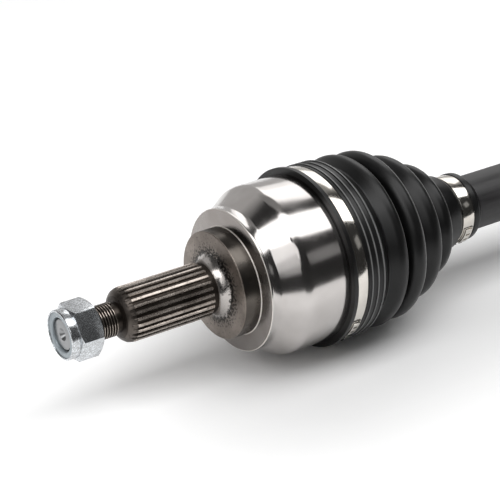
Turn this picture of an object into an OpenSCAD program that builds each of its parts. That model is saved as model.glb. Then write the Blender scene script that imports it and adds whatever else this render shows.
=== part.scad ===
// Drive shaft of a car: ball joint at the wheel end, bar, plunging tripod joint at the gearbox end.
// The shaft lies along X with the hub nut towards -X and +Z up.
// The origin is on the axis, in the shoulder face that seats against the wheel bearing.

/* [Hub end] */
// Outer diameter of the hub nut's thread
hub_thread_d = 18; // [16:1:19]
// Pitch of the hub nut's thread
hub_thread_pitch = 1.5; // [1:0.25:2]
// Distance from the shoulder face to the nut's front face
nut_face_distance = 91.7; // [88:0.1:100]
// Width of the hub nut across its flats
nut_across_flats = 27; // [26:1:30]
// Length of the nut's hexagon
nut_hex_length = 13; // [12:0.5:18]
// Length of the nut's round collar
nut_collar_length = 4.7; // [3.5:0.1:5.5]
// Diameter of the nut's round collar
nut_collar_d = 26.4; // [24:0.2:26.8]
// Angle of the first nut flat round the axis
nut_turn = 26; // [0:1:60]
// Outer diameter of the hub spline
hub_spline_d = 29.5; // [28:0.5:32]
// Number of teeth on the hub spline
hub_spline_teeth = 26; // [22:1:30]
// Depth of the hub spline's teeth
hub_spline_depth = 1.3; // [0.8:0.1:1.5]
// Length of the hub spline with its rounded nose
hub_spline_length = 46.6; // [40:0.2:47]
// Plain neck between the hub spline and the shoulder face
hub_neck_length = 13; // [11:0.5:14]

/* [Outer race] */
// Diameter of the shoulder that seats against the bearing
shoulder_d = 58.8; // [56:0.2:60]
// Height of the shoulder in front of the bell
shoulder_height = 10.2; // [8:0.2:10.4]
// Diameter of the lip at the front of the bell
lip_d = 78; // [74:0.5:80]
// Diameter of the bell
bell_d = 93.4; // [93:0.2:96]
// Distance from the joint's centre to the bell's mouth
mouth_distance = 20; // [19:0.5:21]

/* [Ball joint] */
// Distance from the shoulder face to the joint's centre
outboard_centre = 46; // [45:0.5:48]
// Radius of the circle on which the ball centres lie
ball_pitch_r = 31; // [30.5:0.1:31.5]
// Ball diameter
ball_d = 18; // [17:0.25:18.5]
// Wall of the ball cage
cage_wall = 4.7; // [4:0.1:5]
// Width of the ball cage
cage_width = 30; // [28:0.5:31]
// Width of the inner race
inner_race_width = 24; // [22:0.5:25]
// Largest bend of the ball joint
outboard_bend = 45; // [40:1:46]
// Gap between the sliding faces of a joint
joint_play = 0.3; // [0.25:0.05:0.35]

/* [Shaft bar] */
// Distance between the centres of the two joints
centre_distance = 384; // [360:1:420]
// Diameter of the bar
bar_d = 32; // [31:0.25:33]
// Diameter of the bar's necks at the joints
neck_d = 25; // [24.5:0.25:25.5]
// Diameter of the splines at the bar's ends
bar_spline_d = 24; // [23:0.25:24.5]
// Number of teeth on the splines at the bar's ends
bar_spline_teeth = 26; // [22:1:28]
// Length of the cone between neck and bar
bar_cone_length = 26; // [20:1:28]

/* [Tripod joint] */
// Radius from the spider's centre to each roller's centre
tripod_r = 25; // [24.5:0.1:25.2]
// Diameter of a roller over its rounded rim
roller_d = 36; // [35:0.25:36.5]
// Width of a roller
roller_width = 12; // [11:0.25:12.5]
// Diameter of the spider's trunnions
trunnion_d = 21; // [20:0.25:22]
// Diameter of the needles
needle_d = 2.5; // [2:0.1:2.8]
// Diameter of the spider's hub
spider_hub_d = 34; // [33:0.5:35]
// Width of the spider's hub
spider_width = 26; // [25:0.5:27]
// Distance from the tripod's centre to the housing's mouth
housing_mouth_distance = 30; // [29:0.5:31]
// Distance from the tripod's centre to the bottom of the cup
cup_depth = 42; // [41.5:0.5:46]
// Wall of the housing round its tracks
housing_wall = 4.2; // [3.8:0.1:4.4]

/* [Gearbox end] */
// Thickness of the bottom of the cup
cup_bottom = 9; // [7:0.5:12]
// Diameter of the seal land
seal_land_d = 40; // [38:0.5:42]
// Length of the seal land
seal_land_length = 18; // [14:0.5:20]
// Diameter of the gearbox spline
gearbox_spline_d = 27; // [26:0.5:29]
// Number of teeth on the gearbox spline
gearbox_spline_teeth = 26; // [22:1:30]
// Length of the gearbox spline
gearbox_spline_length = 36; // [30:1:40]
// Length of the pilot nose past the gearbox spline
nose_length = 10; // [8:0.5:12]

/* [Boots and clamps] */
// Wall of the rubber boots
boot_wall = 2.4; // [2.2:0.1:2.8]
// Length of the wheel-side boot between the edges of its two cuffs
outboard_boot_length = 100; // [98:0.5:104]
// Length of the gearbox-side boot between the edges of its two cuffs
inboard_boot_length = 86; // [84:0.5:92]
// Radius under the wheel-side boot's large clamp
large_clamp_r = 47.9; // [47.8:0.1:48.4]
// Width of the large clamps
large_clamp_width = 7.1; // [6:0.1:7.5]
// Radius under the small clamps
small_clamp_r = 18.7; // [18.5:0.1:19]
// Width of the small clamps
small_clamp_width = 8; // [7:0.25:9]
// Thickness of the clamp bands
clamp_band = 0.8; // [0.6:0.1:0.9]
// Radius of the lip at the edge of the large cuffs
cuff_lip_r = 50.1; // [50:0.1:50.6]

/* [Hidden] */
$fn = 96;

// Clearance of two pieces that are fitted together and don't move
fit = 0.02;
// Clearance of pieces that turn on each other
running_fit = 0.05;
// How far a cutting shape runs past the face that it cuts
past = 1;

// Hub end
nut_face_x = -nut_face_distance;
nut_hex_x = nut_face_x + nut_collar_length;
nut_seat_x = nut_hex_x + nut_hex_length;
stub_end_x = nut_face_x + 1.6;
hub_spline_end_x = -hub_neck_length;
hub_spline_x = hub_spline_end_x - hub_spline_length;
hub_spline_r = hub_spline_d / 2;
hub_core_r = hub_spline_r - hub_spline_depth;
thread_r = hub_thread_d / 2;
thread_core_r = thread_r - 0.6 * hub_thread_pitch;
thread_end_x = hub_spline_x - 2;
insert_r = nut_collar_d / 2 - 1.2;
insert_depth = 3.2;
neck_fillet = 5.5;
// Edge break of the forged shoulder and lip
edge = 0.6;
// Lathe centre hole in the stub's end
centre_hole_r = 3.2;
centre_hole_depth = 5;
// Chamfer at the start of the thread, and how much lower its first turn is
thread_chamfer = 1;
first_turn_depth = 0.2;
// Rounded start of the hub spline: distance from its edge, and depth below its tips
hub_nose = [[0, 5], [1.4, 2.4], [3.4, 0.7], [6.6, -0.1]];
// Chamfers of the nut: at its collar, at the hexagon's front and at the seat
collar_chamfer = 0.6;
hex_chamfer = 1;
seat_chamfer = 1.6;
seat_step = 0.4;
// How far the locking insert lies below the collar's edge
insert_inset = 0.5;

// Ball joint
ball_r = ball_d / 2;
ball_angles = [30 : 60 : 330];
track_r = ball_r + joint_play;
cage_mid_r = ball_pitch_r + 0.85;
cage_outer_r = cage_mid_r + cage_wall / 2;
cage_inner_r = cage_mid_r - cage_wall / 2;
socket_r = cage_outer_r + joint_play;
inner_race_r = cage_inner_r - joint_play;
window_length = ball_d + 4;
mouth_x = outboard_centre + mouth_distance;
track_sweep = outboard_bend / 2 + 20;

// Bell
bell_r = bell_d / 2;
lip_r = lip_d / 2;
shoulder_r = shoulder_d / 2;
// Turned neck behind the lip, the cone that rises from it and the rounding that leads onto the bell
bell_neck_r = lip_r - 0.2;
bell_neck_end_x = shoulder_height + 5.8;
bell_cone_end_x = bell_neck_end_x + 9.9;
bell_cone_end_r = bell_r - 1.7;
bell_crown_x = bell_cone_end_x + 6.3;
bell_crown = 0.6;
mouth_chamfer = 0.8;
boot_seat_x = mouth_x - 9.6;
boot_seat_r = large_clamp_r - 2.7;

// Bar
inboard_centre = outboard_centre + centre_distance;
bar_r = bar_d / 2;
neck_r = neck_d / 2;
bar_spline_r = bar_spline_d / 2;
bar_spline_depth = 0.9;
bar_core_r = bar_spline_r - bar_spline_depth - 0.4;
clip_width = 1.6;
clip_depth = 1.2;
// Angle over which the split rings are open
ring_opening = 40;
bar_chamfer = 1.6;
stop_ring_r = bar_spline_r + 2;
bar_tail = 5;
outboard_bar_end = outboard_centre - inner_race_width / 2 - bar_tail;
inboard_bar_end = inboard_centre + spider_width / 2 + bar_tail;
outboard_spline_end = outboard_centre + inner_race_width / 2 + clip_width + 1.5;
inboard_spline_end = inboard_centre - spider_width / 2 - clip_width - 1.5;
outboard_neck_end = outboard_centre + 50;
inboard_neck_end = inboard_centre - 48;

// Boots
outboard_cuff_x = boot_seat_x - 1.6;
cuff_lip_width = 2.7;
cuff_ring_height = 0.9;
cuff_edge = 0.4;
// Run of the low steps beside the clamps' seats
seat_wall = 0.3;
// Distance from the small cuff's start to its clamp
small_clamp_distance = 0.75;
small_cuff_length = 16;
small_lip_r = small_clamp_r + 1.1;
outboard_small_x = outboard_cuff_x + outboard_boot_length;
adaptor_x = inboard_centre - housing_mouth_distance + 7;
adaptor_length = 11;
inboard_cuff_x = adaptor_x + adaptor_length;
inboard_small_x = inboard_cuff_x - inboard_boot_length;
bead_depth = 0.5;
bead_width = 4;
bead_distance = 6;
rib_height = 0.5;
rib_pitch = 3.9;
rib_width = 1.6;
// Slope at which a boot's folds begin behind its ribs, and at which its last fold drops to its neck
fold_entry = -50;
fold_exit = -61;
// How much larger than the small clamp's seat the neck is at its two ends
neck_start_height = 4;
neck_end_height = 3;
// Distance of the neck from the last fold
neck_distance = 8.2;

// Clamps
outboard_large_clamp_x = outboard_cuff_x + cuff_lip_width + fit;
outboard_small_clamp_x = outboard_small_x + small_clamp_distance + fit;
inboard_large_clamp_x = inboard_cuff_x - cuff_lip_width - fit - large_clamp_width;
inboard_small_clamp_x = inboard_small_x - small_clamp_distance - fit - small_clamp_width;
lock_length = 12.2;
lock_height = 1.2;
lock_window_width = 1.4;
lock_windows = [0.3, 0.62];
tail_length = 31.8;
tail_thickness = 0.5;
// Part of the band's width that the lock leaves free at each side
lock_inset = 0.14;
// Where each lock starts round the axis, from the left side over the top
outboard_large_lock = 205;
outboard_small_lock = 190;
inboard_large_lock = 120;
inboard_small_lock = 100;

// Tripod joint
trunnion_angles = [0, 120, 240];
trunnion_r = trunnion_d / 2;
roller_r = roller_d / 2;
needle_r = needle_d / 2;
needle_ring_r = trunnion_r + running_fit + needle_r;
roller_bore_r = needle_ring_r + needle_r + running_fit;
needle_count = floor(180 / asin((needle_r + 0.05) / needle_ring_r));
washer_width = 1.2;
washer_r = roller_bore_r - 0.5;
snap_ring_width = 1.2;
snap_ring_depth = 0.8;
snap_ring_opening = 30;
trunnion_end_r = trunnion_r - 1.5;
snap_ring_place = tripod_r + roller_width / 2 + washer_width;
trunnion_tip_r = snap_ring_place + snap_ring_width + 1;
spider_chamfer = 2;
track_end_r = tripod_r + 9.8;
track_half_width = roller_r + joint_play;
cup_bore_r = tripod_r + 0.5;
ridge_bevel = 3;
ridge_bevel_length = 6;
cup_relief = 1;
housing_r = norm([track_end_r, track_half_width]) + housing_wall;
housing_mouth_x = inboard_centre - housing_mouth_distance;
cup_bottom_x = inboard_centre + cup_depth;
housing_end_x = cup_bottom_x + cup_bottom;
adaptor_r = housing_r + 2.6;
inboard_clamp_r = adaptor_r + 1.78;
tip_groove_r = track_end_r + 2.2;
tip_groove_half_width = trunnion_r + 1.5;
// How far the trunnion-tip grooves stop short of the tracks' ends
tip_groove_stop = 4;
rim_chamfer = 0.8;

// Gearbox end
seal_land_r = seal_land_d / 2;
seal_fillet = 4;
land_chamfer = 1;
seal_land_x = housing_end_x + 8;
seal_land_end_x = seal_land_x + seal_land_length;
gearbox_spline_r = gearbox_spline_d / 2;
gearbox_spline_depth = 1.1;
gearbox_chamfer = 1.2;
gearbox_neck_r = gearbox_spline_r - gearbox_spline_depth - 0.4;
gearbox_spline_x = seal_land_end_x + 5;
gearbox_spline_end_x = gearbox_spline_x + gearbox_spline_length;
nose_r = gearbox_spline_r - 2.2;
nose_end_x = gearbox_spline_end_x + nose_length;
nose_groove_x = nose_end_x - 4.5;
nose_chamfer = 1.5;
circlip_wire_r = 0.9;

// Folds of the wheel-side boot: distance from the cuff's edge, outermost or innermost radius, rounding,
// +1 for a crest or -1 for a valley
outboard_folds = [[27.2, 44.8, 1.2, -1], [34.3, 49, 5, 1], [40.8, 41.2, 1.3, -1], [47.4, 48.1, 5.2, 1],
                  [55.4, 37.2, 1.3, -1], [63.5, 41.6, 5.6, 1], [71.4, 28.4, 1.3, -1], [79.3, 32.8, 4.3, 1]];
// Folds of the gearbox-side boot, from its cuff's edge towards the bar
inboard_folds = [[20.4, 45.2, 1.2, -1], [26.2, 49, 4.4, 1], [32.2, 41, 1.2, -1], [38.4, 46, 4.6, 1],
                 [44.6, 36.5, 1.2, -1], [51, 39.6, 4.6, 1], [57.3, 28.6, 1.2, -1], [63.4, 31.2, 4.2, 1]];

// Turns a shape built about Z so that it lies about X, with its own X to the side and its own Y up
module along_x(x = 0) {
    translate([x, 0, 0]) rotate([90, 0, 90]) children();
}

// A turned piece: the outline is a list of [radius, x]
module turned(outline) {
    along_x() rotate_extrude() polygon(outline);
}

// A round bore or disc about the axis from x0 to x1
module round_bar(r, x0, x1) {
    along_x(x0) cylinder(r = r, h = x1 - x0);
}

// A ring about the axis from x0 to x1
module ring(outer, inner, x0, x1) {
    turned([[inner, x0], [outer, x0], [outer, x1], [inner, x1]]);
}

// Points of an arc from p to q that bulges by sag to the outside, without its end points
function bulge(p, q, sag, steps = 8) =
    let (side = [q[1] - p[1], p[0] - q[0]] / norm(q - p))
    [for (i = [1 : steps - 1]) let (t = i / steps) p + t * (q - p) + 4 * sag * t * (1 - t) * side];

// Points of a round corner about a centre, from one angle to another
function corner(centre, r, from, to, steps = 6) =
    [for (i = [0 : steps]) let (a = from + (to - from) * i / steps) centre + r * [cos(a), sin(a)]];

// Outline of a toothed spline
module spline_outline(r, depth, teeth) {
    root = r - depth;
    pitch = 360 / teeth;
    polygon([for (i = [0 : teeth - 1])
             for (p = [[root, -0.30], [r, -0.14], [r, 0.14], [root, 0.30]])
             p[0] * [cos((i + p[1]) * pitch), sin((i + p[1]) * pitch)]]);
}

// Start of a spline at x whose teeth are chamfered by size
function chamfered(r, x, size, spare = 0.3) = [[r - size, x], [r + spare, x + size + spare]];

// A toothed spline from x0 to x1 within a turned envelope
module spline(r, depth, teeth, x0, x1, nose) {
    intersection() {
        along_x(x0) linear_extrude(x1 - x0) spline_outline(r, depth, teeth);
        turned(concat([[0, x0]], nose, [[r + past, x1], [0, x1]]));
    }
}

// Wheel-side joint

// Sideways drift of a ball that stays put in its cage window while the joint is fully bent
function ball_drift(angle) = ball_pitch_r * sin(angle) * cos(angle) * (1 - cos(outboard_bend / 2));

// The path of one ball, from the closed end of its track to past the mouth, wide enough for the drift
module ball_track(angle) {
    drift = ball_drift(angle);
    opening = 50;
    translate([outboard_centre, 0, 0]) rotate([angle, 0, 0]) rotate([0, 0, 90 - opening])
        rotate_extrude(angle = track_sweep + opening)
            translate([ball_pitch_r, drift / 2]) circle(track_r + abs(drift) / 2);
}

// A ball about the joint's centre
module centred_ball(r) {
    along_x(outboard_centre) sphere(r);
}

module stub() {
    thread_x = stub_end_x + thread_chamfer;
    ridge_count = floor((thread_end_x - thread_x) / hub_thread_pitch);
    nose = [[thread_core_r, stub_end_x], [thread_r - first_turn_depth, thread_x]];
    ridges = [for (i = [0 : ridge_count - 1])
              for (p = [[thread_r, 0.25], [thread_core_r, 0.75]])
              [p[0], thread_x + (i + p[1]) * hub_thread_pitch]];
    neck = [[thread_core_r, hub_spline_x + past], [0, hub_spline_x + past]];
    turned(concat([[0, stub_end_x]], nose, ridges, neck));
    spline(hub_spline_r, hub_spline_depth, hub_spline_teeth, hub_spline_x, hub_spline_end_x,
           [for (p = hub_nose) [hub_spline_r - p[1], hub_spline_x + p[0]]]);
}

module bell_blank() {
    core = hub_core_r + 0.4;
    run_out = 1.5;
    turned(concat(
        [[0, hub_spline_end_x - run_out], [hub_core_r - 0.3, hub_spline_end_x - run_out],
         [core, hub_spline_end_x]],
        corner([core + neck_fillet, -neck_fillet], neck_fillet, 180, 90),
        [[shoulder_r - edge, 0], [shoulder_r, edge], [shoulder_r, shoulder_height - 2 * edge],
         [shoulder_r + edge, shoulder_height], [lip_r - edge, shoulder_height],
         [lip_r, shoulder_height + edge], [lip_r, shoulder_height + 2 * edge],
         [bell_neck_r, shoulder_height + 3 * edge],
         [bell_neck_r, bell_neck_end_x], [bell_cone_end_r, bell_cone_end_x]],
        bulge([bell_cone_end_r, bell_cone_end_x], [bell_r, bell_crown_x], bell_crown),
        [[bell_r, bell_crown_x], [bell_r, boot_seat_x - 1], [boot_seat_r, boot_seat_x],
         [boot_seat_r, mouth_x - 2 * mouth_chamfer], [boot_seat_r - mouth_chamfer, mouth_x], [0, mouth_x]]));
}

module outer_race() {
    flare = tan(outboard_bend);
    flare_r = neck_r / cos(outboard_bend) + 1;
    color([0.75, 0.73, 0.7]) difference() {
        union() {
            stub();
            bell_blank();
        }
        centred_ball(socket_r);
        along_x(outboard_centre)
            cylinder(r1 = flare_r, r2 = flare_r + flare * (mouth_distance + past), h = mouth_distance + past);
        for (angle = ball_angles) ball_track(angle);
        turned([[0, stub_end_x - past], [centre_hole_r * (1 + past / centre_hole_depth), stub_end_x - past],
                [0, stub_end_x + centre_hole_depth]]);
    }
}

module hub_nut() {
    corner_r = nut_across_flats / 2 / cos(30);
    collar_r = nut_collar_d / 2;
    color([0.82, 0.84, 0.86]) difference() {
        union() {
            intersection() {
                along_x(nut_hex_x) rotate(nut_turn - 30) cylinder(r = corner_r, h = nut_hex_length, $fn = 6);
                turned([[0, nut_hex_x], [collar_r, nut_hex_x], [corner_r + 0.1, nut_hex_x + hex_chamfer],
                        [corner_r + 0.1, nut_seat_x - seat_chamfer],
                        [nut_across_flats / 2 - seat_step, nut_seat_x], [0, nut_seat_x]]);
            }
            turned([[0, nut_face_x], [collar_r - collar_chamfer, nut_face_x],
                    [collar_r, nut_face_x + collar_chamfer], [collar_r, nut_hex_x + past],
                    [0, nut_hex_x + past]]);
        }
        round_bar(thread_r + running_fit, nut_face_x - past, nut_seat_x + past);
        round_bar(insert_r + fit, nut_face_x - past, nut_face_x + insert_depth);
    }
}

module hub_nut_insert() {
    color([0.5, 0.56, 0.6])
        ring(insert_r, thread_r + running_fit, nut_face_x + insert_inset, nut_face_x + insert_depth);
}

module inner_race() {
    half = inner_race_width / 2;
    color([0.6, 0.6, 0.62]) difference() {
        intersection() {
            centred_ball(inner_race_r);
            round_bar(inner_race_r + past, outboard_centre - half, outboard_centre + half);
        }
        for (angle = ball_angles) ball_track(angle);
        along_x(outboard_centre - half - past) linear_extrude(inner_race_width + 2 * past)
            spline_outline(bar_spline_r + fit, bar_spline_depth, bar_spline_teeth);
    }
}

module ball_cage() {
    half = cage_width / 2;
    color([0.5, 0.5, 0.53]) difference() {
        intersection() {
            centred_ball(cage_outer_r);
            round_bar(cage_outer_r + past, outboard_centre - half, outboard_centre + half);
        }
        centred_ball(cage_inner_r);
        for (angle = ball_angles)
            translate([outboard_centre, 0, 0]) rotate([angle, 0, 0]) rotate([-90, 0, 0]) cage_window();
    }
}

// Window with round corners for one ball
module cage_window() {
    width = ball_d + 2 * running_fit;
    rounding = 3;
    linear_extrude(cage_outer_r + past) {
        square([width, window_length - 2 * rounding], center = true);
        square([width - 2 * rounding, window_length], center = true);
        for (x = [-1, 1], y = [-1, 1])
            translate([x * (width / 2 - rounding), y * (window_length / 2 - rounding)]) circle(rounding);
    }
}

module balls() {
    color([0.85, 0.85, 0.87]) for (angle = ball_angles)
        translate([outboard_centre, 0, 0]) rotate([angle, 0, 0])
            translate([0, ball_pitch_r, 0]) sphere(ball_r);
}

// Split ring in a groove round the bar, open over a short angle
module split_ring(outer, inner, x0) {
    color([0.35, 0.35, 0.37]) along_x(x0) rotate(ring_opening / 2) rotate_extrude(angle = 360 - ring_opening)
        translate([inner, 0]) square([outer - inner, clip_width - 2 * fit]);
}

module outboard_circlip() {
    split_ring(stop_ring_r, bar_spline_r - clip_depth + fit,
               outboard_centre - inner_race_width / 2 - clip_width + fit);
}

module outboard_stop_ring() {
    split_ring(stop_ring_r, bar_spline_r - clip_depth + fit, outboard_centre + inner_race_width / 2 + fit);
}

// Bar with its two splined ends
module shaft_bar() {
    clip_r = bar_spline_r - clip_depth;
    color([0.2, 0.2, 0.21]) difference() {
        union() {
            spline(bar_spline_r, bar_spline_depth, bar_spline_teeth, outboard_bar_end, outboard_spline_end,
                   chamfered(bar_spline_r, outboard_bar_end, bar_chamfer));
            spline(bar_spline_r, bar_spline_depth, bar_spline_teeth, inboard_spline_end,
                   inboard_bar_end - bar_chamfer,
                   [[bar_spline_r + past, inboard_spline_end]]);
            turned([[0, outboard_spline_end - past], [bar_core_r, outboard_spline_end - past],
                    [bar_core_r, outboard_spline_end],
                    [neck_r, outboard_spline_end + 3], [neck_r, outboard_neck_end],
                    [bar_r, outboard_neck_end + bar_cone_length],
                    [bar_r, inboard_neck_end - bar_cone_length], [neck_r, inboard_neck_end],
                    [neck_r, inboard_spline_end - 3], [bar_core_r, inboard_spline_end],
                    [bar_core_r, inboard_bar_end - edge], [bar_core_r - edge, inboard_bar_end],
                    [0, inboard_bar_end]]);
        }
        for (x = [outboard_centre - (inner_race_width / 2 + clip_width),
                  outboard_centre + inner_race_width / 2,
                  inboard_centre - (spider_width / 2 + clip_width), inboard_centre + spider_width / 2])
            ring(bar_r + past, clip_r, x, x + clip_width);
        for (x = [outboard_small_x + bead_distance, inboard_small_x - bead_distance - bead_width])
            ring(bar_r + past, bar_r - bead_depth, x, x + bead_width);
    }
}

// Boots

// Centre of a fold's rounding
function fold_centre(fold) = [fold[0], fold[1] - fold[2] * fold[3]];

// Direction of the straight wall that leaves fold a and runs onto fold b
function wall_angle(a, b) =
    let (d = fold_centre(b) - fold_centre(a))
    atan2(d[1], d[0]) - asin((a[2] * a[3] - b[2] * b[3]) / norm(d));

// Points [distance, radius] along a row of rounded folds, moved inwards by depth
function bellows(folds, first, last, depth, steps = 5) =
    let (n = len(folds))
    [for (i = [0 : n - 1])
     let (a0 = i == 0 ? first : wall_angle(folds[i - 1], folds[i]),
          a1 = i == n - 1 ? last : wall_angle(folds[i], folds[i + 1]))
     for (k = [0 : steps])
     let (a = a0 + (a1 - a0) * k / steps, r = folds[i][2] * folds[i][3] - depth)
     fold_centre(folds[i]) + r * [-sin(a), cos(a)]];

// A boot from its large cuff at x to its small cuff, with way +1 towards +X or -1 towards -X. Its clamp sits
// at clamp_r and its cuff on seat, a list of the radius before and after the step at a distance from the edge
module boot(x, way, folds, small, clamp_r, seat, step, ribs) {
    groove = cuff_lip_width;
    clamp_end = groove + large_clamp_width + 2 * fit;
    ring_r = clamp_r + cuff_ring_height;
    small_seat = small + small_clamp_distance - fit;
    small_end = small_seat + small_clamp_width + 4 * fit;
    neck = folds[len(folds) - 1][0] + neck_distance;
    neck_r = [small_clamp_r + neck_start_height, small_clamp_r + neck_end_height];
    outer = concat(
        [[0, cuff_lip_r - cuff_edge], [cuff_edge, cuff_lip_r], [groove - cuff_edge, cuff_lip_r],
         [groove, clamp_r], [clamp_end, clamp_r], [clamp_end + seat_wall, ring_r]],
        [for (i = [0 : ribs - 1])
         for (p = [[0, 0], [cuff_edge, rib_height], [rib_width - cuff_edge, rib_height], [rib_width, 0]])
         [clamp_end + rib_pitch * (i + 0.5) + p[0], ring_r + p[1]]],
        bellows(folds, fold_entry, fold_exit, 0),
        [[neck, neck_r[0]], [small - 3, neck_r[1]], [small_seat - seat_wall, small_clamp_r + 0.7],
         [small_seat, small_clamp_r], [small_end, small_clamp_r], [small_end + seat_wall, small_lip_r],
         [small + small_cuff_length - 3.2, small_lip_r], [small + small_cuff_length, bar_r + 0.8],
         [small + small_cuff_length, bar_r + fit]]);
    inner = concat(
        [[0, seat[0] + fit], [step, seat[0] + fit], [step + 1, seat[1] + fit],
         [clamp_end + 1.4, seat[1] + fit]],
        bellows(folds, fold_entry, fold_exit, boot_wall),
        [[neck - 0.7, neck_r[0] - boot_wall], [small - 3.6, neck_r[1] - boot_wall], [small - 1, bar_r + fit],
         [small + bead_distance, bar_r + fit], [small + bead_distance + fit, bar_r - bead_depth + fit],
         [small + bead_distance + bead_width - fit, bar_r - bead_depth + fit],
         [small + bead_distance + bead_width, bar_r + fit]]);
    count = len(inner);
    outline = concat(outer, [for (i = [1 : count]) inner[count - i]]);
    turned([for (p = outline) [p[1], x + way * p[0]]]);
}

module outboard_boot() {
    color([0.07, 0.07, 0.07])
        boot(outboard_cuff_x, 1, outboard_folds, outboard_boot_length, large_clamp_r,
             [bell_r, boot_seat_r], boot_seat_x - 1 - outboard_cuff_x, 3);
}

module inboard_boot() {
    color([0.07, 0.07, 0.07])
        boot(inboard_cuff_x, -1, inboard_folds, inboard_boot_length, inboard_clamp_r,
             [adaptor_r, adaptor_r], 1, 2);
}

// Clamp band from x to x + width, with its lock at an angle round the axis
module band_clamp(r, width, x, lock_angle) {
    outer = r + clamp_band;
    lock_sweep = lock_length / r * 180 / PI;
    tail_sweep = tail_length / r * 180 / PI;
    inset = width * lock_inset;
    color([0.8, 0.79, 0.77]) {
        ring(outer, r + fit, x, x + width);
        along_x(x + inset) rotate(lock_angle) difference() {
            union() {
                rotate_extrude(angle = tail_sweep)
                    translate([outer, 0]) square([tail_thickness, width - 2 * inset]);
                rotate_extrude(angle = lock_sweep)
                    translate([outer, 0]) square([lock_height, width - 2 * inset]);
            }
            for (share = lock_windows)
                rotate(share * lock_sweep) translate([outer + 0.3, -lock_window_width / 2, inset])
                    cube([lock_height + past, lock_window_width, width - 4 * inset]);
        }
    }
}

module outboard_large_clamp() {
    band_clamp(large_clamp_r, large_clamp_width, outboard_large_clamp_x, outboard_large_lock);
}

module outboard_small_clamp() {
    band_clamp(small_clamp_r, small_clamp_width, outboard_small_clamp_x, outboard_small_lock);
}

module inboard_large_clamp() {
    band_clamp(inboard_clamp_r, large_clamp_width, inboard_large_clamp_x, inboard_large_lock);
}

module inboard_small_clamp() {
    band_clamp(small_clamp_r, small_clamp_width, inboard_small_clamp_x, inboard_small_lock);
}

// Gearbox-side joint

// Puts a shape built along Z onto one trunnion of the tripod
module on_trunnion(angle) {
    translate([inboard_centre, 0, 0]) rotate([angle, 0, 0]) rotate([-90, 0, 0]) children();
}

module spider() {
    half = spider_width / 2;
    hub_r = spider_hub_d / 2;
    color([0.55, 0.55, 0.58]) difference() {
        union() {
            turned([[0, inboard_centre - half], [hub_r - spider_chamfer, inboard_centre - half],
                    [hub_r, inboard_centre - half + spider_chamfer],
                    [hub_r, inboard_centre + half - spider_chamfer],
                    [hub_r - spider_chamfer, inboard_centre + half], [0, inboard_centre + half]]);
            for (angle = trunnion_angles) on_trunnion(angle) {
                cylinder(r = trunnion_r, h = tripod_r + roller_width / 2);
                cylinder(r = trunnion_end_r, h = trunnion_tip_r);
            }
        }
        along_x(inboard_centre - half - past) linear_extrude(spider_width + 2 * past)
            spline_outline(bar_spline_r + fit, bar_spline_depth, bar_spline_teeth);
        for (angle = trunnion_angles) on_trunnion(angle)
            translate([0, 0, snap_ring_place]) difference() {
                cylinder(r = trunnion_r, h = snap_ring_width);
                cylinder(r = trunnion_end_r - snap_ring_depth, h = snap_ring_width);
            }
    }
}

module spider_circlip() {
    split_ring(stop_ring_r, bar_spline_r - clip_depth + fit, inboard_centre + spider_width / 2 + fit);
}

module spider_stop_ring() {
    split_ring(stop_ring_r, bar_spline_r - clip_depth + fit,
               inboard_centre - spider_width / 2 - clip_width + fit);
}

// Roller with a rim that is part of a ball, so that it may tilt between the flat sides of its track
module roller(angle) {
    half = roller_width / 2;
    color([0.78, 0.78, 0.8]) on_trunnion(angle) translate([0, 0, tripod_r]) rotate_extrude() difference() {
        intersection() {
            circle(roller_r);
            translate([0, -half]) square([roller_r, roller_width]);
        }
        translate([-past, -half - past]) square([roller_bore_r + past, roller_width + 2 * past]);
    }
}

module roller_1() {
    roller(trunnion_angles[0]);
}

module roller_2() {
    roller(trunnion_angles[1]);
}

module roller_3() {
    roller(trunnion_angles[2]);
}

module needle_set(angle) {
    length = roller_width - 1;
    color([0.88, 0.88, 0.9]) on_trunnion(angle) translate([0, 0, tripod_r - length / 2])
        for (i = [0 : needle_count - 1])
            rotate(i * 360 / needle_count) translate([needle_ring_r, 0, 0])
                cylinder(r = needle_r, h = length);
}

module needle_set_1() {
    needle_set(trunnion_angles[0]);
}

module needle_set_2() {
    needle_set(trunnion_angles[1]);
}

module needle_set_3() {
    needle_set(trunnion_angles[2]);
}

module roller_washers() {
    color([0.45, 0.45, 0.47]) for (angle = trunnion_angles)
        on_trunnion(angle) translate([0, 0, tripod_r + roller_width / 2 + fit]) difference() {
            cylinder(r = washer_r, h = washer_width - 2 * fit);
            translate([0, 0, -past]) cylinder(r = trunnion_end_r + fit, h = washer_width + 2 * past);
        }
}

module roller_snap_rings() {
    inner = trunnion_end_r - snap_ring_depth + fit;
    color([0.3, 0.3, 0.32]) for (angle = trunnion_angles)
        on_trunnion(angle) translate([0, 0, snap_ring_place + fit]) rotate(snap_ring_opening / 2)
            rotate_extrude(angle = 360 - snap_ring_opening) translate([inner, 0])
                square([trunnion_r + 0.5 - inner, snap_ring_width - 2 * fit]);
}

// Outline of the three-lobed cup, let out by a margin
module lobes(margin) {
    intersection() {
        circle(housing_r + margin);
        union() {
            circle(cup_bore_r + housing_wall + 1 + margin);
            for (angle = trunnion_angles) rotate(angle)
                translate([0, -track_half_width - housing_wall - margin])
                    square([housing_r + margin + past, 2 * (track_half_width + housing_wall + margin)]);
        }
    }
}

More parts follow.
